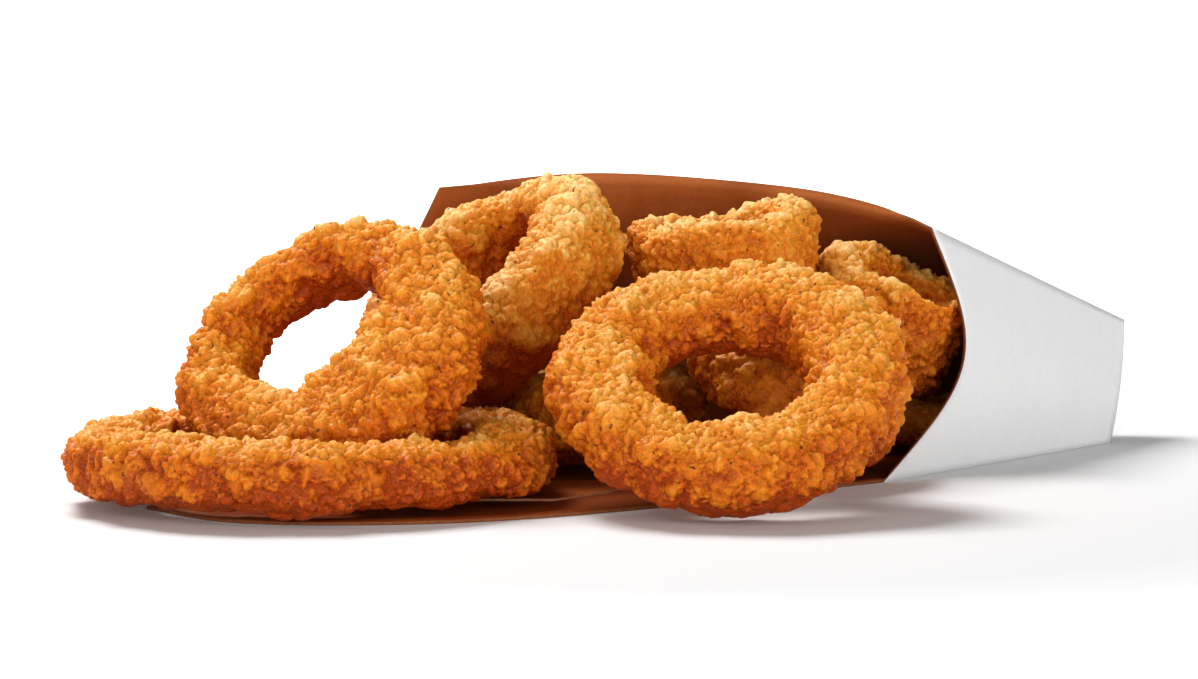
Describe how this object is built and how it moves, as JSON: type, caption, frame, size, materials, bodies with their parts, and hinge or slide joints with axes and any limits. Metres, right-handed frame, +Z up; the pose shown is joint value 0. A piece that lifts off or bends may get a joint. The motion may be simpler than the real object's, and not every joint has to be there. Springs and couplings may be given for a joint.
{
  "type": "onion rings side",
  "caption": "Crumb-coated fried onion rings spilling out of a small open paper scoop carton that lies on its side, with its long back panel under and behind them.",
  "frame": {"origin": "on the table, under the middle of the whole part's bounding box", "axes": "+X to the right towards the carton's foot, +Y to the back, behind the carton's raised wall, +Z up"},
  "size_m": [0.2112, 0.1512, 0.0579],
  "materials": {
    "board": "matte",
    "crust": "matte"
  },
  "bodies": {
    "root": {"carton": "board", "ring_flat": "crust", "ring_leaning": "crust", "ring_tipped": "crust", "ring_front": "crust", "ring_top": "crust", "ring_mouth": "crust", "ring_inner": "crust", "ring_middle": "crust", "ring_deep": "crust", "ring_base": "crust"}
  },
  "joints": []
}
